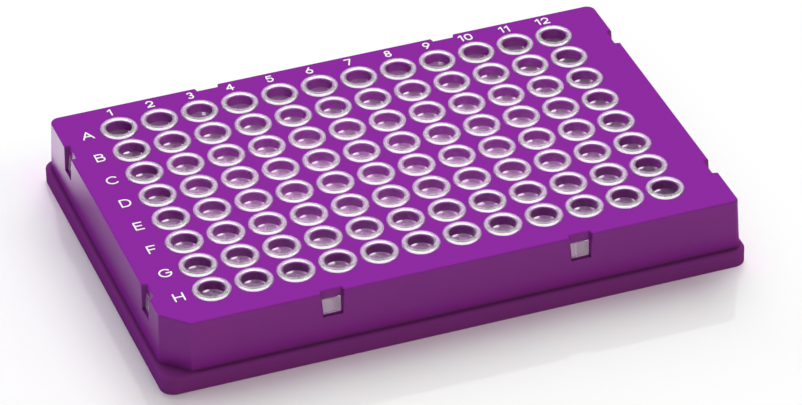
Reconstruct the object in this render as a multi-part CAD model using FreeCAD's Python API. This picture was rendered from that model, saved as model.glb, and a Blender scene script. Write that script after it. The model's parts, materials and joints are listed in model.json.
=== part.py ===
import FreeCAD, Part
import math
import os

from FreeCAD import Vector

# A skirted, low-profile 96-well plate made as two mouldings and its grid marks.
# A rigid shell (deck, skirt and base flange) carries a clear moulding of thin
# wells, which a web under the deck joins and eight tabs lock into the skirt.
# Millimetres. Origin at the middle of the base, +X from column 1 to column 12,
# +Y from the last row to row A, +Z up.

# Overall sizes
plate_length = 127.76
plate_width = 85.48
plate_height = 16.06

# Well grid
pitch = 9.0
side_margin = 12.0            # least distance from the deck's end to a well's axis
front_margin = 9.0            # the same from the deck's long edges

# Shell
wall_thickness = 1.4
deck_thickness = 1.9
flange_height = 3.8
flange_corner_radius = 3.0
flange_top_radius = 0.8
ledge_side = 1.2              # width of the ledge at the short sides
ledge_front = 1.4             # width of the ledge at the long sides
wall_draft_deg = 2.15
back_corner_radius = 2.0
front_corner_radius = 1.2
orientation_chamfer = 5.2     # cut corner beside the first column and last row
inner_corner_radius = 0.6
deck_edge_radius = 0.35

# Recesses and the windows in them, two in each side
recess_pitches = 3            # from the plate's middle, in well pitches
recess_floor_width = 4.6
recess_foot_width = 4.0
recess_depth = 1.15
recess_foot_depth = 0.6
recess_height = 5.7
recess_flare_deg = 15.0
window_margin = 0.15          # from the recess's flank to the window
window_sill = 0.3             # from the recess's foot to the window

# Wells
mouth_radius = 2.73
straight_depth = 4.2
bottom_radius = 1.28
well_wall = 0.4
collar_wall = 0.57
well_ground_gap = 0.85
rim_height = 0.76
rim_width = 1.3
rim_outer_radius = 0.4        # rounding of the rim's outer edge
rim_inner_radius = 0.4

# Web and tabs
web_thickness = 0.8
web_margin = 4.4              # from the outer wells' axes to the web's edge
web_corner_radius = 3.0
tab_thickness = 0.8
tab_lap = 0.6

# Raised grid marks
mark_height = 0.15
mark_stroke = 0.33
letter_size = 2.5
digit_size = 2.1
digit_gap = 0.8
letter_offset = 7.0           # from the first column's axes to the letters' middle
digit_offset = 6.8            # from row A's axes to the numbers' middle

# Derived places
deck_top = plate_height - rim_height
deck_under = deck_top - deck_thickness
draft = math.tan(math.radians(wall_draft_deg))
half_length = plate_length / 2
half_width = plate_width / 2
deck_half_x = half_length - ledge_side - draft * (deck_top - flange_height)
deck_half_y = half_width - ledge_front - draft * (deck_top - flange_height)
columns = int((2 * deck_half_x - 2 * side_margin) / pitch) + 1
rows = int((2 * deck_half_y - 2 * front_margin) / pitch) + 1
grid_half_x = (columns - 1) * pitch / 2
grid_half_y = (rows - 1) * pitch / 2
bore_radius = mouth_radius + collar_wall
rim_radius = mouth_radius + rim_width
recess_offset = recess_pitches * pitch
recess_foot = deck_top - recess_height
window_foot = recess_foot + window_sill
beyond = 1.0                  # how far a cutting tool reaches past the solid


def column_x(column):
    return -grid_half_x + column * pitch


def row_y(row):
    return grid_half_y - row * pitch


def well_axes():
    return [(column_x(column), row_y(row)) for row in range(rows) for column in range(columns)]


def plan_wire(half_x, half_y, radii, chamfer, z):
    """Outline of four sides; radii run A12, A1, H1, H12, and a chamfer replaces H1's."""
    signs = [(1, 1), (-1, 1), (-1, -1), (1, -1)]
    points = []
    for corner, (sx, sy) in enumerate(signs):
        size = chamfer if (corner == 2 and chamfer) else radii[corner]
        along_y = Vector(sx * half_x, sy * (half_y - size), z)
        along_x = Vector(sx * (half_x - size), sy * half_y, z)
        first, last = (along_y, along_x) if sx == sy else (along_x, along_y)
        turn = size * (1 - math.sqrt(0.5))
        middle = Vector(sx * (half_x - turn), sy * (half_y - turn), z)
        points.append((first, middle, last))
    edges = []
    for corner, (first, middle, last) in enumerate(points):
        if corner == 2 and chamfer:
            edges.append(Part.makeLine(first, last))
        else:
            edges.append(Part.Arc(first, middle, last).toShape())
        following = points[(corner + 1) % len(points)][0]
        edges.append(Part.makeLine(last, following))
    return Part.Wire(edges)


def prism(wire, height):
    return Part.Face(wire).extrude(Vector(0, 0, height))


def wall_block(inset, bottom, top, radii, chamfer):
    """Drafted block of the deck and skirt, its walls set in by inset."""
    wires = []
    for z in (bottom, top):
        spread = draft * (deck_top - z) - inset
        wires.append(plan_wire(deck_half_x + spread, deck_half_y + spread, radii, chamfer, z))
    return Part.makeLoft(wires, True, True)


def flange_block():
    radii = [flange_corner_radius] * 4
    block = prism(plan_wire(half_length, half_width, radii, 0, 0), flange_height)
    top_edges = [e for e in block.Edges if e.BoundBox.ZMin > flange_height - 1e-6]
    return block.makeFillet(flange_top_radius, top_edges)


def outer_body():
    radii = [back_corner_radius, back_corner_radius, back_corner_radius, front_corner_radius]
    walls = wall_block(0, 0, deck_top, radii, orientation_chamfer)
    return flange_block().fuse(walls).removeSplitter()


def cavity():
    """Hollow under the deck, which steps out in the flange."""
    inner_chamfer = orientation_chamfer - (2 - math.sqrt(2)) * wall_thickness
    walls = wall_block(wall_thickness, -beyond, deck_under, [inner_corner_radius] * 4, inner_chamfer)
    flange_radii = [flange_corner_radius - wall_thickness] * 4
    half_x = half_length - wall_thickness
    half_y = half_width - wall_thickness
    outline = plan_wire(half_x, half_y, flange_radii, 0, -beyond)
    step = prism(outline, flange_height - wall_thickness + beyond)
    return walls.fuse(step)


def recess_floor(deck_half, z):
    """Distance from the plate's middle plane to the recess floor at height z."""
    foot_wall = deck_half + draft * (deck_top - recess_foot)
    top_floor = deck_half - recess_depth
    foot_floor = foot_wall - recess_foot_depth
    share = (z - recess_foot) / recess_height
    return foot_floor + (top_floor - foot_floor) * share


def recess_half_width(z):
    share = (z - recess_foot) / recess_height
    return (recess_foot_width + (recess_floor_width - recess_foot_width) * share) / 2


def recess_cutter(deck_half):
    """Wedge that cuts one recess, opening towards +Y."""
    flare = math.tan(math.radians(recess_flare_deg))
    outside = deck_half + draft * deck_top + ledge_front + ledge_side
    wires = []
    for z in (recess_foot, deck_top + beyond):
        floor = recess_floor(deck_half, z)
        inner = recess_half_width(z)
        outer = inner + (outside - floor) * flare
        corners = [(-inner, floor), (inner, floor), (outer, outside), (-outer, outside), (-inner, floor)]
        wires.append(Part.makePolygon([Vector(x, y, z) for x, y in corners]))
    return Part.makeLoft(wires, True, True)


def window_prism(deck_half):
    """Trapezoid window from inside the tab to outside the recess floor, along +Y."""
    low = recess_half_width(window_foot) - window_margin
    high = recess_half_width(deck_under) - window_margin
    start = deck_half - wall_thickness - tab_thickness / 2
    corners = [(-low, window_foot), (low, window_foot), (high, deck_under), (-high, deck_under)]
    corners.append(corners[0])
    face = Part.Face(Part.makePolygon([Vector(x, start, z) for x, z in corners]))
    return face.extrude(Vector(0, wall_thickness + tab_thickness, 0))


def at_recesses(make):
    """Copies of make(deck_half) at the eight recesses, each turned to its side."""
    copies = []
    for quarter in range(4):
        deck_half = deck_half_y if quarter % 2 == 0 else deck_half_x
        for along in (-recess_offset, recess_offset):
            copy = make(deck_half)
            copy.translate(Vector(along, 0, 0))
            copy.rotate(Vector(0, 0, 0), Vector(0, 0, 1), 90 * quarter)
            copies.append(copy)
    return copies


def deck_shell():
    body = outer_body().cut(at_recesses(recess_cutter))
    top_edges = [e for e in body.Edges if e.BoundBox.ZMin > deck_top - 1e-6]
    body = body.makeFillet(deck_edge_radius, top_edges)
    body = body.cut(cavity())
    body = body.cut(at_recesses(window_prism))
    depth = deck_thickness + 2 * beyond
    foot = deck_under - beyond
    bores = [Part.makeCylinder(bore_radius, depth, Vector(x, y, foot)) for x, y in well_axes()]
    return body.cut(bores).removeSplitter()


def cone_angle():
    """Half angle of the cone that leaves the straight mouth and meets the round bottom."""
    drop = plate_height - straight_depth - (well_ground_gap + well_wall + bottom_radius)
    reach = math.hypot(mouth_radius, drop)
    return math.acos(bottom_radius / reach) - math.atan2(drop, mouth_radius)


def revolve(edges):
    return Part.Face(Part.Wire(edges)).revolve(Vector(0, 0, 0), Vector(0, 0, 1), 360)


def arc_about(centre_r, centre_z, radius, start_deg, end_deg):
    points = []
    for angle in (start_deg, (start_deg + end_deg) / 2, end_deg):
        turn = math.radians(angle)
        points.append(Vector(centre_r + radius * math.cos(turn), 0, centre_z + radius * math.sin(turn)))
    return Part.Arc(*points).toShape()


def well_profile(offset):
    """Bottom and cone of a well, from the axis up to the straight mouth, as edges."""
    angle = cone_angle()
    radius = bottom_radius + offset
    centre = well_ground_gap + well_wall + bottom_radius
    joint = Vector(mouth_radius + offset, 0, plate_height - straight_depth - offset * math.tan(angle / 2))
    bottom = arc_about(0, centre, radius, -90, -math.degrees(angle))
    return [bottom, Part.makeLine(bottom.Vertexes[-1].Point, joint)]


def closed_profile(edges, corners):
    """Edges carried on through corners and back to where they start."""
    points = [edges[-1].Vertexes[-1].Point] + corners + [edges[0].Vertexes[0].Point]
    return edges + [Part.makeLine(a, b) for a, b in zip(points, points[1:])]


def well_body():
    """Solid outside of one well up to the underside of its rim."""
    edges = well_profile(well_wall)
    collar_foot = deck_under - web_thickness
    corners = [
        Vector(mouth_radius + well_wall, 0, collar_foot),
        Vector(bore_radius, 0, collar_foot),
        Vector(bore_radius, 0, deck_top + rim_height / 2),
        Vector(0, 0, deck_top + rim_height / 2),
    ]
    return revolve(closed_profile(edges, corners))


def well_hollow():
    edges = well_profile(0)
    corners = [
        Vector(mouth_radius, 0, plate_height + beyond),
        Vector(0, 0, plate_height + beyond),
    ]
    return revolve(closed_profile(edges, corners))


def rim():
    """Broad rounded lip that rests on the deck around one well."""
    outer_centre = rim_radius - rim_outer_radius
    inner_centre = mouth_radius + rim_inner_radius
    outer_arc = arc_about(outer_centre, plate_height - rim_outer_radius, rim_outer_radius, 0, 90)
    inner_arc = arc_about(inner_centre, plate_height - rim_inner_radius, rim_inner_radius, 90, 180)
    edges = [
        Part.makeLine(Vector(rim_radius, 0, deck_top), outer_arc.Vertexes[0].Point),
        outer_arc,
        Part.makeLine(outer_arc.Vertexes[-1].Point, inner_arc.Vertexes[0].Point),
        inner_arc,
        Part.makeLine(inner_arc.Vertexes[-1].Point, Vector(mouth_radius, 0, deck_top)),
        Part.makeLine(Vector(mouth_radius, 0, deck_top), Vector(rim_radius, 0, deck_top)),
    ]
    return revolve(edges)


def tab(deck_half):
    """Arm from the web to the skirt and the tab that hangs behind one window, towards +Y."""
    inner_top = deck_half + draft * (deck_top - deck_under) - wall_thickness
    foot = window_foot - tab_lap
    inner_foot = deck_half + draft * (deck_top - foot) - wall_thickness
    web_half = grid_half_y if deck_half == deck_half_y else grid_half_x
    arm_start = web_half + web_margin - beyond
    half = recess_half_width(deck_under) - window_margin + tab_lap
    profile = [
        (arm_start, deck_under),
        (inner_top, deck_under),
        (inner_foot, foot),
        (inner_foot - tab_thickness, foot),
        (inner_top - tab_thickness, deck_under - web_thickness),
        (arm_start, deck_under - web_thickness),
        (arm_start, deck_under),
    ]
    face = Part.Face(Part.makePolygon([Vector(-half, y, z) for y, z in profile]))
    arm = face.extrude(Vector(2 * half, 0, 0))
    plug = window_prism(deck_half).cut(recess_cutter(deck_half))
    return arm.fuse(plug)


def well_moulding():
    radii = [web_corner_radius] * 4
    foot = deck_under - web_thickness
    outline = plan_wire(grid_half_x + web_margin, grid_half_y + web_margin, radii, 0, foot)
    web = prism(outline, web_thickness)
    bodies = []
    hollows = []
    for x, y in well_axes():
        for made, shapes in ((well_body(), bodies), (rim(), bodies), (well_hollow(), hollows)):
            made.translate(Vector(x, y, 0))
            shapes.append(made)
    moulding = web.fuse(bodies + at_recesses(tab))
    return moulding.cut(hollows).removeSplitter()


# Strokes of the grid marks on a height of 1: a list of points is a run of straight
# strokes, and (x, y, radius, start, end) is an arc with its angles in degrees.
strokes = {
    "A": [[(0, 0), (0.46, 1), (0.92, 0)], [(0.17, 0.36), (0.75, 0.36)]],
    "B": [[(0.4, 1), (0, 1), (0, 0), (0.42, 0)], [(0, 0.54), (0.42, 0.54)],
          (0.4, 0.77, 0.23, -90, 90), (0.42, 0.27, 0.27, -90, 90)],
    "C": [(0.5, 0.5, 0.5, 45, 315)],
    "D": [[(0.32, 1), (0, 1), (0, 0), (0.32, 0)], (0.32, 0.5, 0.5, -90, 90)],
    "E": [[(0.64, 1), (0, 1), (0, 0), (0.66, 0)], [(0, 0.52), (0.58, 0.52)]],
    "F": [[(0.64, 1), (0, 1), (0, 0)], [(0, 0.5), (0.54, 0.5)]],
    "G": [(0.5, 0.5, 0.5, 45, 360), [(0.58, 0.5), (1, 0.5)]],
    "H": [[(0, 0), (0, 1)], [(0.78, 0), (0.78, 1)], [(0, 0.52), (0.78, 0.52)]],
    "I": [[(0, 0), (0, 1)]],
    "J": [[(0.5, 1), (0.5, 0.25)], (0.25, 0.25, 0.25, 180, 360)],
    "K": [[(0, 0), (0, 1)], [(0.66, 1), (0, 0.4)], [(0.24, 0.62), (0.7, 0)]],
    "L": [[(0, 1), (0, 0), (0.6, 0)]],
    "0": [(0.33, 0.67, 0.33, 0, 180), (0.33, 0.33, 0.33, 180, 360),
          [(0, 0.33), (0, 0.67)], [(0.66, 0.33), (0.66, 0.67)]],
    "1": [[(0, 0.78), (0.28, 1), (0.28, 0)]],
    "2": [(0.32, 0.68, 0.32, -35, 165), [(0.582, 0.496), (0, 0), (0.66, 0)]],
    "3": [(0.3, 0.76, 0.24, -90, 145), (0.3, 0.26, 0.26, -145, 90)],
    "4": [[(0.5, 0), (0.5, 1), (0, 0.3), (0.7, 0.3)]],
    "5": [[(0.56, 1), (0.1, 1), (0.06, 0.55)], (0.3, 0.32, 0.32, -150, 136)],
    "6": [(0.31, 0.31, 0.31, 0, 360), [(0.44, 1), (0.04, 0.44)]],
    "7": [[(0, 1), (0.62, 1), (0.22, 0)]],
    "8": [(0.31, 0.76, 0.24, 0, 360), (0.31, 0.27, 0.27, 0, 360)],
    "9": [(0.31, 0.69, 0.31, 0, 360), [(0.58, 0.56), (0.18, 0)]],
}


def straight_stroke(start, end):
    half = mark_stroke / 2
    along = (end - start).normalize()
    side = Vector(-along.y, along.x, 0) * half
    return Part.Face(Part.Wire([
        Part.makeLine(start + side, end + side),
        Part.Arc(end + side, end + along * half, end - side).toShape(),
        Part.makeLine(end - side, start - side),
        Part.Arc(start - side, start - along * half, start + side).toShape(),
    ]))


def polar(centre, radius, degrees):
    turn = math.radians(degrees)
    return centre + Vector(radius * math.cos(turn), radius * math.sin(turn), 0)


def arc_stroke(centre, radius, start, end):
    half = mark_stroke / 2
    inner = radius - half
    outer = radius + half
    if end - start >= 360:
        disc = Part.Face(Part.Wire(Part.makeCircle(outer, centre)))
        return disc.cut(Part.Face(Part.Wire(Part.makeCircle(inner, centre))))
    middle = (start + end) / 2
    tail = polar(centre, radius, start) + polar(Vector(0, 0, 0), half, start - 90)
    head = polar(centre, radius, end) + polar(Vector(0, 0, 0), half, end + 90)
    ends = ((outer, start), (outer, end), (inner, end), (inner, start))
    corners = [polar(centre, r, angle) for r, angle in ends]
    return Part.Face(Part.Wire([
        Part.Arc(corners[0], polar(centre, outer, middle), corners[1]).toShape(),
        Part.Arc(corners[1], head, corners[2]).toShape(),
        Part.Arc(corners[2], polar(centre, inner, middle), corners[3]).toShape(),
        Part.Arc(corners[3], tail, corners[0]).toShape(),
    ]))


def glyph_width(glyph):
    reach = [0]
    for stroke in strokes[glyph]:
        if isinstance(stroke, list):
            reach += [x for x, y in stroke]
        else:
            reach.append(stroke[0] + stroke[2])
    return max(reach)


def raised_glyph(glyph, left, bottom, size):
    """One mark as a solid on the deck, its stroke's lower left corner at left, bottom."""
    faces = []
    for stroke in strokes[glyph]:
        if isinstance(stroke, list):
            points = [Vector(left + x * size, bottom + y * size, deck_top) for x, y in stroke]
            faces += [straight_stroke(a, b) for a, b in zip(points, points[1:])]
        else:
            x, y, radius, start, end = stroke
            centre = Vector(left + x * size, bottom + y * size, deck_top)
            faces.append(arc_stroke(centre, radius * size, start, end))
    pieces = [face.extrude(Vector(0, 0, mark_height)) for face in faces]
    return pieces[0].fuse(pieces[1:]).removeSplitter() if len(pieces) > 1 else pieces[0]


def raised_word(word, x, y, size):
    """Marks side by side, with the middle of the word at x, y."""
    widths = [glyph_width(glyph) * size for glyph in word]
    left = x - (sum(widths) + digit_gap * (len(word) - 1)) / 2
    solids = []
    for glyph, width in zip(word, widths):
        solids += raised_glyph(glyph, left, y - size / 2, size).Solids
        left += width + digit_gap
    return solids


def row_letters():
    solids = []
    for row in range(rows):
        solids += raised_word(chr(ord("A") + row), -grid_half_x - letter_offset, row_y(row), letter_size)
    return Part.Compound(solids)


def column_numbers():
    solids = []
    for column in range(columns):
        solids += raised_word(str(column + 1), column_x(column), grid_half_y + digit_offset, digit_size)
    return Part.Compound(solids)


os.makedirs("parts", exist_ok=True)
for name, make in (
    ("deck_shell", deck_shell),
    ("well_moulding", well_moulding),
    ("row_letters", row_letters),
    ("column_numbers", column_numbers),
):
    shape = make()
    print(name, len(shape.Solids), "solids, valid", shape.isValid(), "volume", round(shape.Volume, 2))
    shape.exportStep("parts/" + name + ".step")
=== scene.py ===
import json
import math

import bmesh
import bpy
from mathutils import Matrix, Vector


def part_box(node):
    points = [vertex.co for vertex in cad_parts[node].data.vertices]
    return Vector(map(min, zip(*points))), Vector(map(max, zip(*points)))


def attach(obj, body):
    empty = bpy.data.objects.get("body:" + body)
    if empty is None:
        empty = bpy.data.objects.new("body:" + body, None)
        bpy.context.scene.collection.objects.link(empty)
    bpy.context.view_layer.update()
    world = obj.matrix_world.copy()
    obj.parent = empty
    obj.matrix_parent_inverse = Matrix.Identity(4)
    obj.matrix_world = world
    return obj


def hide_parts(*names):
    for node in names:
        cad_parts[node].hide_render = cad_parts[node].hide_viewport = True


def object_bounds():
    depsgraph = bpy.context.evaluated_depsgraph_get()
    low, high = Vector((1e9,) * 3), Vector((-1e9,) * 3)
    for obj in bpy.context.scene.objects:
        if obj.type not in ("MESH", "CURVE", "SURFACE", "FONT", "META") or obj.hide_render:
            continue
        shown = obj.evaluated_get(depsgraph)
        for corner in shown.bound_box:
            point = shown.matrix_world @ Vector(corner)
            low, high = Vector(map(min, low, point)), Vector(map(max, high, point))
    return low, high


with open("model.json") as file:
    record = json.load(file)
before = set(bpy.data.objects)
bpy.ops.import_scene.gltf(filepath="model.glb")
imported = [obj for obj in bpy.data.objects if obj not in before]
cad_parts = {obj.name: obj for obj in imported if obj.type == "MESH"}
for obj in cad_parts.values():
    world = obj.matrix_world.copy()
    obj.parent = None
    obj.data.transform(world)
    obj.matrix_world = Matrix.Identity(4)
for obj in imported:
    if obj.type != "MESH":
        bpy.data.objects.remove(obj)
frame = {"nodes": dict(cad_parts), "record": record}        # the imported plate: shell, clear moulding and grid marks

# A skirted 96-well plate: purple shell, clear wells with broad rims, white grid marks.
# Metres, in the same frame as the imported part.

cadLow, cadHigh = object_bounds()
mm = 0.001

mounts = {mount["name"]: mount for mount in frame["record"]["mounts"]}
firstWell = Vector(mounts["well_a1"]["pos_m"])
lastWell = Vector(mounts["well_h12"]["pos_m"])
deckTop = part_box("row_letters")[0].z       # the marks stand on the deck
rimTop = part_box("well_moulding")[1].z
print("plate loaded:", ", ".join(sorted(frame["nodes"])))


def addNode(tree, kind, **settings):
    node = tree.nodes.new(kind)
    for key, value in settings.items():
        setattr(node, key, value)
    return node


def addMath(tree, operation, *values):
    # each value is a number or another node's output
    node = addNode(tree, "ShaderNodeMath", operation=operation)
    for socket, value in zip(node.inputs, values):
        if isinstance(value, bpy.types.NodeSocket):
            tree.links.new(value, socket)
        else:
            socket.default_value = value
    return node.outputs[0]


def newMaterial(name):
    material = bpy.data.materials.new(name)
    material.use_nodes = True
    material.node_tree.nodes.clear()
    return material, material.node_tree


def mixColours(tree, share, first, second):
    # each colour is a value or another node's output
    mix = addNode(tree, "ShaderNodeMix", data_type="RGBA")
    tree.links.new(share, mix.inputs["Factor"])
    for label, colour in (("A", first), ("B", second)):
        socket = [entry for entry in mix.inputs if entry.name == label and entry.type == "RGBA"][0]
        if isinstance(colour, bpy.types.NodeSocket):
            tree.links.new(colour, socket)
        else:
            socket.default_value = colour
    return [entry for entry in mix.outputs if entry.type == "RGBA"][0]


def mixShaders(tree, share, first, second):
    mix = addNode(tree, "ShaderNodeMixShader")
    tree.links.new(share, mix.inputs[0])
    tree.links.new(first.outputs[0], mix.inputs[1])
    tree.links.new(second.outputs[0], mix.inputs[2])
    return mix


def setOutput(tree, shader, kind="ShaderNodeOutputMaterial"):
    out = addNode(tree, kind)
    tree.links.new(shader.outputs[0], out.inputs["Surface"])


def grainNoise(tree, look):
    place = addNode(tree, "ShaderNodeTexCoord")
    noise = addNode(tree, "ShaderNodeTexNoise")
    noise.inputs["Scale"].default_value = look["grainScale"]
    tree.links.new(place.outputs["Object"], noise.inputs["Vector"])
    return noise.outputs[0]


def objectPlace(tree):
    # X, Y and Z in the object's own frame
    place = addNode(tree, "ShaderNodeTexCoord")
    split = addNode(tree, "ShaderNodeSeparateXYZ")
    tree.links.new(place.outputs["Object"], split.inputs[0])
    return split.outputs


def addProduct(tree, product, *values):
    for value in values:
        product = addMath(tree, "MULTIPLY", product, value)
    return product


def addDistance(tree, across, along):
    squares = [addMath(tree, "MULTIPLY", value, value) for value in (across, along)]
    return addMath(tree, "SQRT", addMath(tree, "ADD", *squares))


def stepBetween(tree, value, start, end):
    # rises smoothly from 0 at start to 1 at end, whichever of them is higher
    ramp = addNode(tree, "ShaderNodeMapRange", interpolation_type="SMOOTHSTEP")
    ramp.inputs["From Min"].default_value = start
    ramp.inputs["From Max"].default_value = end
    tree.links.new(value, ramp.inputs["Value"])
    return ramp.outputs[0]


def addBump(tree, shader, height, look):
    bump = addNode(tree, "ShaderNodeBump")
    bump.inputs["Strength"].default_value = look["grainStrength"]
    bump.inputs["Distance"].default_value = look["grainDepth"]
    tree.links.new(height, bump.inputs["Height"])
    tree.links.new(bump.outputs[0], shader.inputs["Normal"])


def meshObject(name, bm):
    mesh = bpy.data.meshes.new(name)
    bm.to_mesh(mesh)
    bm.free()
    made = bpy.data.objects.new(name, mesh)
    bpy.context.scene.collection.objects.link(made)
    return made


shellFinish = {
    "deckColour": (0.274, 0.026, 0.368, 1),
    "deckFade": (0.3 * mm, 0.05 * mm),        # below the deck's top
    # painted shade: the walls in a darker, redder purple than the deck, and the foot darker still
    "wallShadedColour": (0.236, 0.022, 0.272, 1),
    "footShadedColour": (0.212, 0.036, 0.226, 1),
    "footHeight": 4.3 * mm,       # the base flange and its ledge are matt, and their colour is painted darker as shade
    "footFade": 0.6 * mm,
    "deckRoughness": 0.5,         # spark-eroded, matt
    "wallRoughness": 0.35,
    "roughnessSpread": 0.1,
    "gloss": 0.64,                # polished outside walls
    "glossFrom": 3.9 * mm,        # whose gloss grows towards the deck
    "glossTo": 8.5 * mm,
    "glossRoughness": 0.18,
    "glossIor": 1.36,
    "paintedShadeReach": 3.0 * mm,      # painted shade: corners and recesses are darkened in the colour
    "paintedShadeOpen": (0.35, 0.95),   # how open a place is, from fully darkened to not at all
    "paintedShadeDepth": 0.4,
    "paintedShadeSamples": 16,
    "grainScale": 2600,
    "grainDepth": 0.02 * mm,
    "grainStrength": 0.2,
    "wallGrain": 0.2,             # as a share of the deck's
}


def shellPaint(tree, look, height, deckShare):
    # three colours by height: the walls and the foot darker than the deck as painted shade, and painted shade in the
    # creases
    footLow, footHigh = look["footHeight"] - look["footFade"], look["footHeight"] + look["footFade"]
    bodyShare = stepBetween(tree, height, footLow, footHigh)
    body = mixColours(tree, bodyShare, look["footShadedColour"], look["wallShadedColour"])
    paint = mixColours(tree, deckShare, body, look["deckColour"])
    # painted shade: ambient occlusion darkens the colour in corners and recesses
    crease = addNode(tree, "ShaderNodeAmbientOcclusion", only_local=True, samples=look["paintedShadeSamples"])
    crease.inputs["Distance"].default_value = look["paintedShadeReach"]
    openness = stepBetween(tree, crease.outputs["AO"], *look["paintedShadeOpen"])
    shade = addMath(tree, "MULTIPLY_ADD", openness, look["paintedShadeDepth"], 1 - look["paintedShadeDepth"])
    shaded = addNode(tree, "ShaderNodeVectorMath", operation="SCALE")
    tree.links.new(paint, shaded.inputs[0])
    tree.links.new(shade, shaded.inputs["Scale"])
    return shaded.outputs[0]


def shellPlastic(look):
    material, tree = newMaterial("shellPlastic")
    shader = addNode(tree, "ShaderNodeBsdfPrincipled")
    shader.inputs["Specular IOR Level"].default_value = 0.0
    shader.inputs["Coat Roughness"].default_value = look["glossRoughness"]
    shader.inputs["Coat IOR"].default_value = look["glossIor"]
    height = objectPlace(tree)["Z"]
    deckShare = stepBetween(tree, height, *(deckTop - below for below in look["deckFade"]))
    tree.links.new(shellPaint(tree, look, height, deckShare), shader.inputs["Base Color"])
    grain = grainNoise(tree, look)
    rise = look["deckRoughness"] - look["wallRoughness"]
    lowest = look["wallRoughness"] - look["roughnessSpread"] / 2
    roughness = addMath(tree, "MULTIPLY_ADD", deckShare, rise, lowest)
    roughness = addMath(tree, "MULTIPLY_ADD", grain, look["roughnessSpread"], roughness)
    tree.links.new(roughness, shader.inputs["Roughness"])
    wallShare = stepBetween(tree, height, look["glossFrom"], look["glossTo"])
    wallShare = addMath(tree, "SUBTRACT", wallShare, deckShare)
    tree.links.new(addMath(tree, "MULTIPLY", wallShare, look["gloss"]), shader.inputs["Coat Weight"])
    relief = addMath(tree, "MULTIPLY_ADD", deckShare, 1 - look["wallGrain"], look["wallGrain"])
    relief = addMath(tree, "MULTIPLY", grain, relief)
    addBump(tree, shader, relief, look)
    setOutput(tree, shader)
    return material


markFinish = {
    "colour": (0.95, 0.95, 0.95, 1),
    "roughness": 0.4,
    "roughnessSpread": 0.1,
    "grainScale": 3000,
    "grainDepth": 0.01 * mm,
    "grainStrength": 0.1,
}


def grainRoughness(tree, shader, look, grain):
    lowest = look["roughness"] - look["roughnessSpread"] / 2
    roughness = addMath(tree, "MULTIPLY_ADD", grain, look["roughnessSpread"], lowest)
    tree.links.new(roughness, shader.inputs["Roughness"])


def markWhite(look):
    material, tree = newMaterial("markWhite")
    shader = addNode(tree, "ShaderNodeBsdfPrincipled")
    shader.inputs["Base Color"].default_value = look["colour"]
    grain = grainNoise(tree, look)
    grainRoughness(tree, shader, look, grain)
    addBump(tree, shader, grain, look)
    setOutput(tree, shader)
    return material


clearFinish = {
    "colour": (0.95, 0.93, 0.95, 1),
    "roughness": 0.13,
    "roughnessSpread": 0.04,
    "ior": 1.49,
    "milkBelow": 0.12,            # share of scattered light in the wells' bodies
    "belowFade": 0.1 * mm,
    "milkRim": 0.1,               # and in the rims; the collars between are clear
    "rimFade": 0.4 * mm,
    "milkEdge": 0.2,              # more of it in the rims' inner rounding
    "edgeFade": 0.3,              # as a share of the rounding
    "shadow": (0.97, 0.97, 0.97, 1),          # what it lets through to shadows
    "grainScale": 400,
    "grainDepth": 0.02 * mm,
    "grainStrength": 0.05,
}


def wellRadius(tree, w):
    # distance from the axis of the nearest well
    place = objectPlace(tree)
    offsets = []
    for axis, start in (("X", firstWell.x), ("Y", firstWell.y)):
        offset = addMath(tree, "SUBTRACT", place[axis], start)
        offsets.append(addMath(tree, "WRAP", offset, w["pitch"] / 2, -w["pitch"] / 2))
    return addDistance(tree, *offsets)


def innerRounding(tree, height, w, fade):
    # 1 in the middle of the rims' inner rounding, 0 at both its ends
    reach, rest = w["rimInnerRound"], w["rimInnerRound"] * fade
    near = stepBetween(tree, wellRadius(tree, w), w["mouthRadius"] + reach, w["mouthRadius"] + rest)
    high = stepBetween(tree, height, rimTop - reach, rimTop - rest)
    return addMath(tree, "MULTIPLY", near, high)


def clearPlastic(look, w):
    material, tree = newMaterial("clearPlastic")
    shader = addNode(tree, "ShaderNodeBsdfPrincipled")
    shader.inputs["Base Color"].default_value = look["colour"]
    shader.inputs["IOR"].default_value = look["ior"]
    cloud = grainNoise(tree, look)
    grainRoughness(tree, shader, look, cloud)
    height = objectPlace(tree)["Z"]
    webTop = webHeight(w)
    above = stepBetween(tree, height, webTop - look["belowFade"], webTop + look["belowFade"])
    clearShare = addMath(tree, "MULTIPLY_ADD", above, look["milkBelow"], 1 - look["milkBelow"])
    rounding = innerRounding(tree, height, w, look["edgeFade"])
    milk = addMath(tree, "MULTIPLY_ADD", rounding, look["milkEdge"], look["milkRim"])
    milk = addMath(tree, "MULTIPLY", stepBetween(tree, height, deckTop, deckTop + look["rimFade"]), milk)
    clearShare = addMath(tree, "SUBTRACT", clearShare, milk)
    tree.links.new(clearShare, shader.inputs["Transmission Weight"])
    addBump(tree, shader, cloud, look)
    clear = addNode(tree, "ShaderNodeBsdfTransparent")
    clear.inputs["Color"].default_value = look["shadow"]
    path = addNode(tree, "ShaderNodeLightPath")
    either = addMath(tree, "MAXIMUM", path.outputs["Is Shadow Ray"], path.outputs["Is Diffuse Ray"])
    setOutput(tree, mixShaders(tree, either, shader, clear))
    return material


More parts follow.
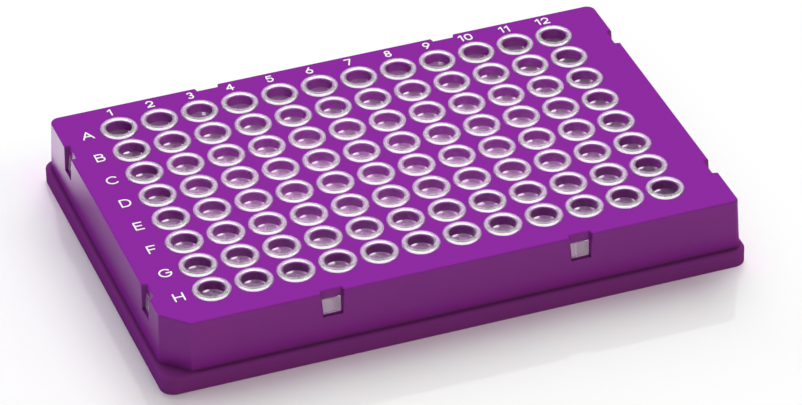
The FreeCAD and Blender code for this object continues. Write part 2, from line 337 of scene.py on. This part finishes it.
well = {
    "pitch": 9.0 * mm,
    "columns": 12,
    "rows": 8,
    "turns": 32,                  # a multiple of 8; twice as many round the mouth and rim
    "bottomSteps": 3,
    "rimSteps": 3,
    "mouthRadius": mounts["well_a1"]["dims"]["r_mm"] * mm,
    "straightDepth": 4.2 * mm,
    "bottomRadius": 1.28 * mm,
    "groundGap": 0.85 * mm,
    "wall": 0.4 * mm,
    "collarWall": 0.57 * mm,
    "rimWidth": 1.3 * mm,
    "rimThickness": 0.6 * mm,
    "rimHollow": 0.05 * mm,       # rise of the rim's underside towards the collar
    "rimOuterRound": 0.4 * mm,
    "rimInnerRound": 0.4 * mm,
    "deckThickness": 1.9 * mm,
    "webThickness": 0.8 * mm,
    "webMargin": 4.4 * mm,
    "webCorner": 3.0 * mm,
    "clearance": 0.02 * mm,       # kept between the two mouldings
    "weld": 0.002 * mm,           # neighbouring cells are joined across this
    "sharpAngle": 40,
}


def arcPoints(centre, radius, start, end, steps):
    # points of an arc in the section, as (radius, height)
    found = []
    for step in range(steps + 1):
        turn = math.radians(start + (end - start) * step / steps)
        found.append((centre[0] + radius * math.cos(turn), centre[1] + radius * math.sin(turn)))
    return found


def bottomHeight(w):
    # of the centre of the well's round bottom
    return w["groundGap"] + w["wall"] + w["bottomRadius"]


def coneAngle(w):
    drop = rimTop - w["straightDepth"] - bottomHeight(w)
    reach = math.hypot(w["mouthRadius"], drop)
    return math.acos(w["bottomRadius"] / reach) - math.atan2(drop, w["mouthRadius"])


def webHeight(w):
    return deckTop - w["deckThickness"] - w["clearance"]


def webEdges(w):
    # half of the web's length and of its width
    return lastWell.x + w["webMargin"], firstWell.y + w["webMargin"]


def insideSection(w):
    # from the bottom's axis up the well, over the rim and down its collar to the web
    centre = (0, bottomHeight(w))
    mouth, rimRadius = w["mouthRadius"], w["mouthRadius"] + w["rimWidth"]
    innerCentre = (mouth + w["rimInnerRound"], rimTop - w["rimInnerRound"])
    outerCentre = (rimRadius - w["rimOuterRound"], rimTop - w["rimOuterRound"])
    collar = mouth + w["collarWall"] - w["clearance"]
    rimFoot = rimTop - w["rimThickness"]
    section = arcPoints(centre, w["bottomRadius"], -90, -math.degrees(coneAngle(w)), w["bottomSteps"])
    section.append((mouth, rimTop - w["straightDepth"]))
    section += arcPoints(innerCentre, w["rimInnerRound"], 180, 90, w["rimSteps"])
    section += arcPoints(outerCentre, w["rimOuterRound"], 90, 0, w["rimSteps"])
    section.append((rimRadius, rimFoot))
    section.append((collar, rimFoot + w["rimHollow"]))
    section.append((collar, webHeight(w)))
    return section


def outsideSection(w):
    # from the web's underside down the outside of the well to its axis
    angle = coneAngle(w)
    radius, bottom = w["mouthRadius"] + w["wall"], w["bottomRadius"] + w["wall"]
    joint = rimTop - w["straightDepth"] - w["wall"] * math.tan(angle / 2)
    section = [(radius, webHeight(w) - w["webThickness"]), (radius, joint)]
    section += arcPoints((0, bottomHeight(w)), bottom, -math.degrees(angle), -90, w["bottomSteps"])
    return section


def addRing(bm, turns, radius, height):
    if radius < 0.001 * mm:       # on the well's axis
        return [bm.verts.new((0, 0, height))]
    angles = [2 * math.pi * turn / turns for turn in range(turns)]
    return [bm.verts.new((radius * math.cos(a), radius * math.sin(a), height)) for a in angles]


def addSquare(bm, w, height):
    ring = []
    for turn in range(w["turns"]):
        angle = 2 * math.pi * turn / w["turns"]
        reach = w["pitch"] / 2 / max(abs(math.cos(angle)), abs(math.sin(angle)))
        ring.append(bm.verts.new((reach * math.cos(angle), reach * math.sin(angle), height)))
    return ring


def skinRings(bm, rings):
    # each ring has one point, as many points as the next, or half or twice as many
    for lower, upper in zip(rings, rings[1:]):
        coarse, fine = sorted((lower, upper), key=len)
        count, step = len(coarse), len(fine) // len(coarse)
        if count == 1:
            for turn in range(step):
                bm.faces.new((coarse[0], fine[turn], fine[(turn + 1) % step]))
            continue
        for turn in range(count):
            first, last = coarse[turn], coarse[(turn + 1) % count]
            near, far = fine[turn * step], fine[(turn + 1) * step % len(fine)]
            if step == 1:
                bm.faces.new((first, last, far, near))
                continue
            middle = fine[turn * step + 1]
            bm.faces.new((first, middle, near))
            bm.faces.new((first, last, middle))
            bm.faces.new((last, far, middle))


def wellCell(w):
    # one well with the square of web around it
    bm = bmesh.new()
    section, inside = insideSection(w), []
    for index, (radius, height) in enumerate(section):
        double = w["bottomSteps"] < index < len(section) - 1
        inside.append(addRing(bm, w["turns"] * (2 if double else 1), radius, height))
    inside.append(addSquare(bm, w, webHeight(w)))
    outside = [addSquare(bm, w, webHeight(w) - w["webThickness"])]
    outside += [addRing(bm, w["turns"], radius, height) for radius, height in outsideSection(w)]
    skinRings(bm, inside)
    skinRings(bm, outside)
    bmesh.ops.recalc_face_normals(bm, faces=bm.faces)
    return meshObject("clear_wells", bm)


def gridTree():
    # copies its mesh over a grid, welds the copies and trims them to the web's edge
    tree = bpy.data.node_groups.new("wellGrid", "GeometryNodeTree")
    sockets = tree.interface
    sockets.new_socket("Geometry", in_out="INPUT", socket_type="NodeSocketGeometry")
    for label in ("Pitch", "Edge X", "Edge Y", "Weld"):
        sockets.new_socket(label, in_out="INPUT", socket_type="NodeSocketFloat")
    for label in ("Columns", "Rows"):
        sockets.new_socket(label, in_out="INPUT", socket_type="NodeSocketInt")
    sockets.new_socket("Material", in_out="INPUT", socket_type="NodeSocketMaterial")
    sockets.new_socket("Geometry", in_out="OUTPUT", socket_type="NodeSocketGeometry")
    start = addNode(tree, "NodeGroupInput")
    grid = addNode(tree, "GeometryNodeMeshGrid")
    for count, size, vertices in (("Columns", "Size X", "Vertices X"), ("Rows", "Size Y", "Vertices Y")):
        gaps = addMath(tree, "SUBTRACT", start.outputs[count], 1)
        tree.links.new(addMath(tree, "MULTIPLY", gaps, start.outputs["Pitch"]), grid.inputs[size])
        tree.links.new(start.outputs[count], grid.inputs[vertices])
    copies = addNode(tree, "GeometryNodeInstanceOnPoints")
    tree.links.new(grid.outputs["Mesh"], copies.inputs["Points"])
    tree.links.new(start.outputs["Geometry"], copies.inputs["Instance"])
    real = addNode(tree, "GeometryNodeRealizeInstances")
    tree.links.new(copies.outputs[0], real.inputs[0])
    weld = addNode(tree, "GeometryNodeMergeByDistance")
    tree.links.new(real.outputs[0], weld.inputs[0])
    tree.links.new(start.outputs["Weld"], weld.inputs["Distance"])
    where = addNode(tree, "GeometryNodeInputPosition")
    split = addNode(tree, "ShaderNodeSeparateXYZ")
    joined = addNode(tree, "ShaderNodeCombineXYZ")
    tree.links.new(where.outputs[0], split.inputs[0])
    tree.links.new(split.outputs["Z"], joined.inputs["Z"])
    for axis in ("X", "Y"):
        edge = start.outputs["Edge " + axis]
        keep = addNode(tree, "ShaderNodeClamp")
        tree.links.new(split.outputs[axis], keep.inputs["Value"])
        tree.links.new(addMath(tree, "MULTIPLY", edge, -1), keep.inputs["Min"])
        tree.links.new(edge, keep.inputs["Max"])
        tree.links.new(keep.outputs[0], joined.inputs[axis])
    trim = addNode(tree, "GeometryNodeSetPosition")
    tree.links.new(weld.outputs[0], trim.inputs["Geometry"])
    tree.links.new(joined.outputs[0], trim.inputs["Position"])
    paint = addNode(tree, "GeometryNodeSetMaterial")
    tree.links.new(trim.outputs[0], paint.inputs["Geometry"])
    tree.links.new(start.outputs["Material"], paint.inputs["Material"])
    end = addNode(tree, "NodeGroupOutput")
    tree.links.new(paint.outputs[0], end.inputs[0])
    return tree


def plainMesh(made):
    # the object's mesh with its modifiers worked in
    view = bpy.context.evaluated_depsgraph_get()
    mesh = bpy.data.meshes.new_from_object(made.evaluated_get(view), depsgraph=view)
    made.modifiers.clear()
    made.data = mesh


def applyTree(made, tree, values):
    modifier = made.modifiers.new(tree.name, "NODES")
    modifier.node_group = tree
    sockets = {item.name: item.identifier for item in tree.interface.items_tree if item.in_out == "INPUT"}
    for label, value in values.items():
        modifier[sockets[label]] = value
    plainMesh(made)


def closeWeb(made, w):
    # rounds the web's corners and closes its edge
    bm = bmesh.new()
    bm.from_mesh(made.data)
    edgeX, edgeY = webEdges(w)
    radius = w["webCorner"]
    border = [edge for edge in bm.edges if edge.is_boundary]
    for vert in {v for edge in border for v in edge.verts}:
        dx, dy = abs(vert.co.x) - (edgeX - radius), abs(vert.co.y) - (edgeY - radius)
        if dx > 0 and dy > 0:
            pull = radius / math.hypot(dx, dy)
            vert.co.x = math.copysign(edgeX - radius + dx * pull, vert.co.x)
            vert.co.y = math.copysign(edgeY - radius + dy * pull, vert.co.y)
    bmesh.ops.bridge_loops(bm, edges=border)
    bmesh.ops.recalc_face_normals(bm, faces=bm.faces)
    bm.to_mesh(made.data)
    bm.free()


tab = {
    "offset": 27.0 * mm,          # from the plate's middle, along each side
    "ledgeSide": 1.2 * mm,
    "ledgeFront": 1.4 * mm,
    "flangeHeight": 3.8 * mm,
    "draft": math.tan(math.radians(2.15)),
    "wallThickness": 1.4 * mm,
    "recessFloorWidth": 4.6 * mm,
    "recessFootWidth": 4.0 * mm,
    "recessDepth": 1.15 * mm,
    "recessFootDepth": 0.6 * mm,
    "recessHeight": 5.7 * mm,
    "windowMargin": 0.15 * mm,
    "windowSill": 0.3 * mm,
    "thickness": 0.8 * mm,
    "lap": 0.6 * mm,              # past the window on each side and below
    "root": 1.0 * mm,             # how far an arm reaches into the web
}


def recessShare(t, z):
    return (z - deckTop + t["recessHeight"]) / t["recessHeight"]


def recessFloor(t, deckHalf, z):
    # distance from the plate's middle plane to the recess floor
    foot = deckHalf + t["draft"] * t["recessHeight"] - t["recessFootDepth"]
    return foot + (deckHalf - t["recessDepth"] - foot) * recessShare(t, z)


def windowHalf(t, z):
    width = t["recessFootWidth"] + (t["recessFloorWidth"] - t["recessFootWidth"]) * recessShare(t, z)
    return width / 2 - t["windowMargin"] - well["clearance"]


def addPrism(bm, outline, sides, turn):
    # a solid between outline points (y, z), each as wide as its entry in sides
    left = [bm.verts.new(turn @ Vector((-half, y, z))) for (y, z), half in zip(outline, sides)]
    right = [bm.verts.new(turn @ Vector((half, y, z))) for (y, z), half in zip(outline, sides)]
    bm.faces.new(left)
    bm.faces.new(right)
    for index in range(len(outline)):
        following = (index + 1) % len(outline)
        bm.faces.new((left[index], left[following], right[following], right[index]))


def tabSolids(w, t):
    # the eight arms with their hanging tabs, and the plugs that fill the windows
    arms, plugs = bmesh.new(), bmesh.new()
    edgeX, edgeY = webEdges(w)
    deckUnder = webHeight(w)
    windowFoot = deckTop - t["recessHeight"] + t["windowSill"] + w["clearance"]
    tabFoot = windowFoot - t["lap"]
    for quarter in range(4):
        alongX = quarter % 2 == 0
        ledge = t["ledgeFront"] if alongX else t["ledgeSide"]
        deckHalf = (cadHigh.y if alongX else cadHigh.x) - ledge
        deckHalf -= t["draft"] * (deckTop - t["flangeHeight"])
        webEdge = edgeY if alongX else edgeX
        innerTop = deckHalf + t["draft"] * (deckTop - deckUnder) - t["wallThickness"] - w["clearance"]
        innerFoot = innerTop + t["draft"] * (deckUnder - tabFoot)
        armRoot, armUnder = webEdge - t["root"], deckUnder - w["webThickness"]
        armOutline = [(armRoot, deckUnder), (innerTop, deckUnder), (innerFoot, tabFoot),
                      (innerFoot - t["thickness"], tabFoot), (innerTop - t["thickness"], armUnder),
                      (armRoot, armUnder)]
        plugBack = innerTop - t["thickness"] / 2
        plugOutline = [(plugBack, windowFoot), (recessFloor(t, deckHalf, windowFoot), windowFoot),
                       (recessFloor(t, deckHalf, deckUnder), deckUnder), (plugBack, deckUnder)]
        plugSides = [windowHalf(t, z) for y, z in plugOutline]
        armSides = [windowHalf(t, deckUnder) + t["lap"]] * len(armOutline)
        for along in (-t["offset"], t["offset"]):
            turn = Matrix.Rotation(math.pi / 2 * quarter, 4, "Z") @ Matrix.Translation((along, 0, 0))
            addPrism(arms, armOutline, armSides, turn)
            addPrism(plugs, plugOutline, plugSides, turn)
    for bm in (arms, plugs):
        bmesh.ops.recalc_face_normals(bm, faces=bm.faces)
    return meshObject("arms", arms), meshObject("plugs", plugs)


def joinSolids(made, others):
    for other in others:
        union = made.modifiers.new("union", "BOOLEAN")
        union.operation = "UNION"
        union.solver = "MANIFOLD"
        union.object = other
    plainMesh(made)
    for other in others:
        bpy.data.objects.remove(other)


def clearWells(material):
    made = wellCell(well)
    edgeX, edgeY = webEdges(well)
    values = {
        "Pitch": well["pitch"],
        "Edge X": edgeX,
        "Edge Y": edgeY,
        "Weld": well["weld"],
        "Columns": well["columns"],
        "Rows": well["rows"],
        "Material": material,
    }
    applyTree(made, gridTree(), values)
    closeWeb(made, well)
    joinSolids(made, tabSolids(well, tab))
    made.data.materials.clear()
    made.data.materials.append(material)
    made.data.shade_smooth()
    made.data.set_sharp_from_angle(angle=math.radians(well["sharpAngle"]))
    return made


wells = clearWells(clearPlastic(clearFinish, well))
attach(wells, "root")
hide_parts("well_moulding")
print("clear wells:", len(wells.data.polygons), "faces")

frame["nodes"]["deck_shell"].material_slots[0].material = shellPlastic(shellFinish)
white = markWhite(markFinish)
for name in ("row_letters", "column_numbers"):
    frame["nodes"][name].material_slots[0].material = white
print("shell and marks painted")

floorFinish = {
    "colour": (0.94, 0.95, 0.96, 1),
    "roughness": 0.05,
    "ior": 1.2,
    "halfSize": 6.0,                          # metres, far past the white backdrop's start
    "nearShadeColour": (1, 0.91, 1, 1),            # painted purple shade beside the base
    "nearShadeReach": (0, 9 * mm),
    "leftColour": (0.83, 0.82, 0.84, 1),      # and at the left, where it is in shade
    "leftReach": (18 * mm, 2 * mm),
    "leftAcross": (-58 * mm, -64 * mm),
    "leftAlong": (36 * mm, 15 * mm),
    "whiteReach": (14 * mm, 60 * mm),         # where it fades into the white backdrop
    "whiteAcross": (48 * mm, 88 * mm),
    "whiteAlong": (42 * mm, 62 * mm),
    "mirrorShadowReach": (5 * mm, 0.5 * mm),        # painted shadow that only gloss sees, dark close to the base
    "mirrorGap": 0.1 * mm,                    # but not inside the base
    "mirrorPaintedGlow": 3.0,                        # and a painted glow that only gloss sees, bright behind the left wall
    "mirrorAcross": (-63 * mm, -67 * mm),
    "mirrorAlong": (28 * mm, 52 * mm),
}


def baseDistance(tree, across, along):
    # how far a place on the floor lies outside the base
    gaps = []
    for value, half in ((across, cadHigh.x), (along, cadHigh.y)):
        past = addMath(tree, "SUBTRACT", addMath(tree, "ABSOLUTE", value), half)
        gaps.append(addMath(tree, "MAXIMUM", past, 0))
    return addDistance(tree, *gaps)


def floorPaint(tree, look, across, along, away):
    # painted purple shade beside the base, and painted shadow at the left
    near = stepBetween(tree, away, *look["nearShadeReach"])
    paint = mixColours(tree, near, look["nearShadeColour"], look["colour"])
    left = addProduct(tree, stepBetween(tree, across, *look["leftAcross"]),
                      stepBetween(tree, along, *look["leftAlong"]),
                      stepBetween(tree, away, *look["leftReach"]))
    return mixColours(tree, left, paint, look["leftColour"])


def floorMirror(tree, look, shader, glossy, across, along, away):
    # the floor that the plate's gloss sees, with painted shadow near the base and a painted glow behind the left wall
    outside = addMath(tree, "GREATER_THAN", away, look["mirrorGap"])
    dark = addProduct(tree, stepBetween(tree, away, *look["mirrorShadowReach"]), glossy, outside)
    bright = addProduct(tree, stepBetween(tree, across, *look["mirrorAcross"]), glossy,
                        stepBetween(tree, along, *look["mirrorAlong"]))
    for share, glow in ((dark, 0), (bright, look["mirrorPaintedGlow"])):
        light = addNode(tree, "ShaderNodeEmission")
        light.inputs["Strength"].default_value = glow
        shader = mixShaders(tree, share, shader, light)
    return shader


def floorWhite(look):
    material, tree = newMaterial("floorWhite")
    shader = addNode(tree, "ShaderNodeBsdfPrincipled")
    shader.inputs["Roughness"].default_value = look["roughness"]
    shader.inputs["IOR"].default_value = look["ior"]
    place = objectPlace(tree)
    across, along = place["X"], place["Y"]
    away = baseDistance(tree, across, along)
    tree.links.new(floorPaint(tree, look, across, along, away), shader.inputs["Base Color"])
    path = addNode(tree, "ShaderNodeLightPath")
    mirrored = floorMirror(tree, look, shader, path.outputs["Is Glossy Ray"], across, along, away)
    whiteShare = stepBetween(tree, away, *look["whiteReach"])
    whiteShare = addMath(tree, "MAXIMUM", whiteShare, stepBetween(tree, across, *look["whiteAcross"]))
    whiteShare = addMath(tree, "MAXIMUM", whiteShare, stepBetween(tree, along, *look["whiteAlong"]))
    whiteShare = addMath(tree, "MULTIPLY", whiteShare, path.outputs["Is Camera Ray"])
    backdrop = addNode(tree, "ShaderNodeEmission")
    setOutput(tree, mixShaders(tree, whiteShare, mirrored, backdrop))
    return material


def makeFloor(look):
    bm = bmesh.new()
    bmesh.ops.create_grid(bm, x_segments=1, y_segments=1, size=look["halfSize"])
    made = meshObject("floor", bm)
    made.data.materials.append(floorWhite(look))


surroundings = {
    "dome": 0.51,                 # the light that they give
    "seen": 1.0,                  # white in the picture, in gloss and through plastic
}


def makeWorld(look):
    world = bpy.data.worlds.new("studio")
    bpy.context.scene.world = world
    world.use_nodes = True
    tree = world.node_tree
    tree.nodes.clear()
    light = addNode(tree, "ShaderNodeBackground")
    light.inputs["Strength"].default_value = look["dome"]
    seen = addNode(tree, "ShaderNodeBackground")
    seen.inputs["Strength"].default_value = look["seen"]
    path = addNode(tree, "ShaderNodeLightPath")
    either = addMath(tree, "MAXIMUM", path.outputs["Is Camera Ray"], path.outputs["Is Glossy Ray"])
    either = addMath(tree, "MAXIMUM", either, path.outputs["Is Transmission Ray"])
    setOutput(tree, mixShaders(tree, either, light, seen), "ShaderNodeOutputWorld")


lamps = {
    "keyLamp": {
        "power": 0.66,
        "angle": 80,
        "direction": (0.1, 0.8, 1.0),
    },
    "wallLamp": {                 # more key light, which clear plastic passes by
        "power": 0.3,
        "angle": 80,
        "direction": (0.1, 0.8, 1.0),
        "inPlastic": False,
    },
    "backLamp": {                 # and a smaller lamp beside it
        "power": 1.1,
        "angle": 45,
        "direction": (0.3, 0.75, 1.0),
        "inPlastic": False,
    },
    "fillLamp": {
        "power": 0.49,
        "angle": 60,
        "direction": (0.9, -1.0, 0.5),
        "colour": (1, 0.8, 0.5),
        "inGloss": False,
    },
    "sideLamp": {                 # a weak violet lamp at the left
        "power": 0.7,
        "angle": 40,
        "direction": (-1.0, 1.0, 0.05),
        "colour": (0.7, 0, 1),
        "inPlastic": False,
        "inGloss": False,
    },
}


def softSun(name, power, angle, direction, colour=(1, 1, 1), inPlastic=True, inGloss=True):
    sun = bpy.data.lights.new(name, "SUN")
    sun.angle = math.radians(angle)
    sun.energy = power
    sun.color = colour
    lamp = bpy.data.objects.new(name, sun)
    lamp.rotation_euler = Vector(direction).to_track_quat("Z", "Y").to_euler()
    lamp.visible_transmission = inPlastic
    lamp.visible_glossy = inGloss
    bpy.context.scene.collection.objects.link(lamp)


insideLamp = {
    "glow": 2.3,                  # light that comes up through the open base
    "size": (0.096, 0.054),
    "height": 0.6 * mm,
    "colour": (1, 0.5, 1),
}


def flatLamp(name, look):
    # a rectangle of light that lies on the floor and faces up, itself unseen
    light = bpy.data.lights.new(name, "AREA")
    light.shape = "RECTANGLE"
    light.size, light.size_y = look["size"]
    light.color = look["colour"]
    light.energy = look["glow"] * math.pi * light.size * light.size_y
    lamp = bpy.data.objects.new(name, light)
    lamp.location.z = look["height"]
    lamp.rotation_euler.x = math.pi
    lamp.visible_camera = False
    lamp.visible_glossy = False
    lamp.visible_transmission = False
    bpy.context.scene.collection.objects.link(lamp)


camera = {
    "azimuth": -19.393,
    "elevation": 34.464,
    "roll": -1.155,
    "distance": 1.01936,
    "target": (0.346 * mm, -5.989 * mm, 8.0 * mm),
    "lens": 218.2,
    "sensor": 36,
    "nearest": 0.05,
    "farthest": 20,
}


def makeCamera(c):
    data = bpy.data.cameras.new("camera")
    data.lens = c["lens"]
    data.sensor_width = c["sensor"]
    data.clip_start = c["nearest"]
    data.clip_end = c["farthest"]
    azimuth, elevation, roll = (math.radians(c[key]) for key in ("azimuth", "elevation", "roll"))
    level = math.cos(elevation)
    back = Vector((math.sin(azimuth) * level, -math.cos(azimuth) * level, math.sin(elevation)))
    right = Vector((math.cos(azimuth), math.sin(azimuth), 0))
    up = back.cross(right)
    side = right * math.cos(roll) + up * math.sin(roll)
    top = -right * math.sin(roll) + up * math.cos(roll)
    place = Vector(c["target"]) + back * c["distance"]
    turn = Matrix((side, top, back)).transposed()
    made = bpy.data.objects.new("camera", data)
    made.matrix_world = Matrix.Translation(place) @ turn.to_4x4()
    bpy.context.scene.collection.objects.link(made)
    bpy.context.scene.camera = made


makeFloor(floorFinish)
makeWorld(surroundings)
for name, look in lamps.items():
    softSun(name, **look)
flatLamp("insideLamp", insideLamp)
makeCamera(camera)
bpy.context.scene.view_settings.view_transform = "Standard"
print("studio set")
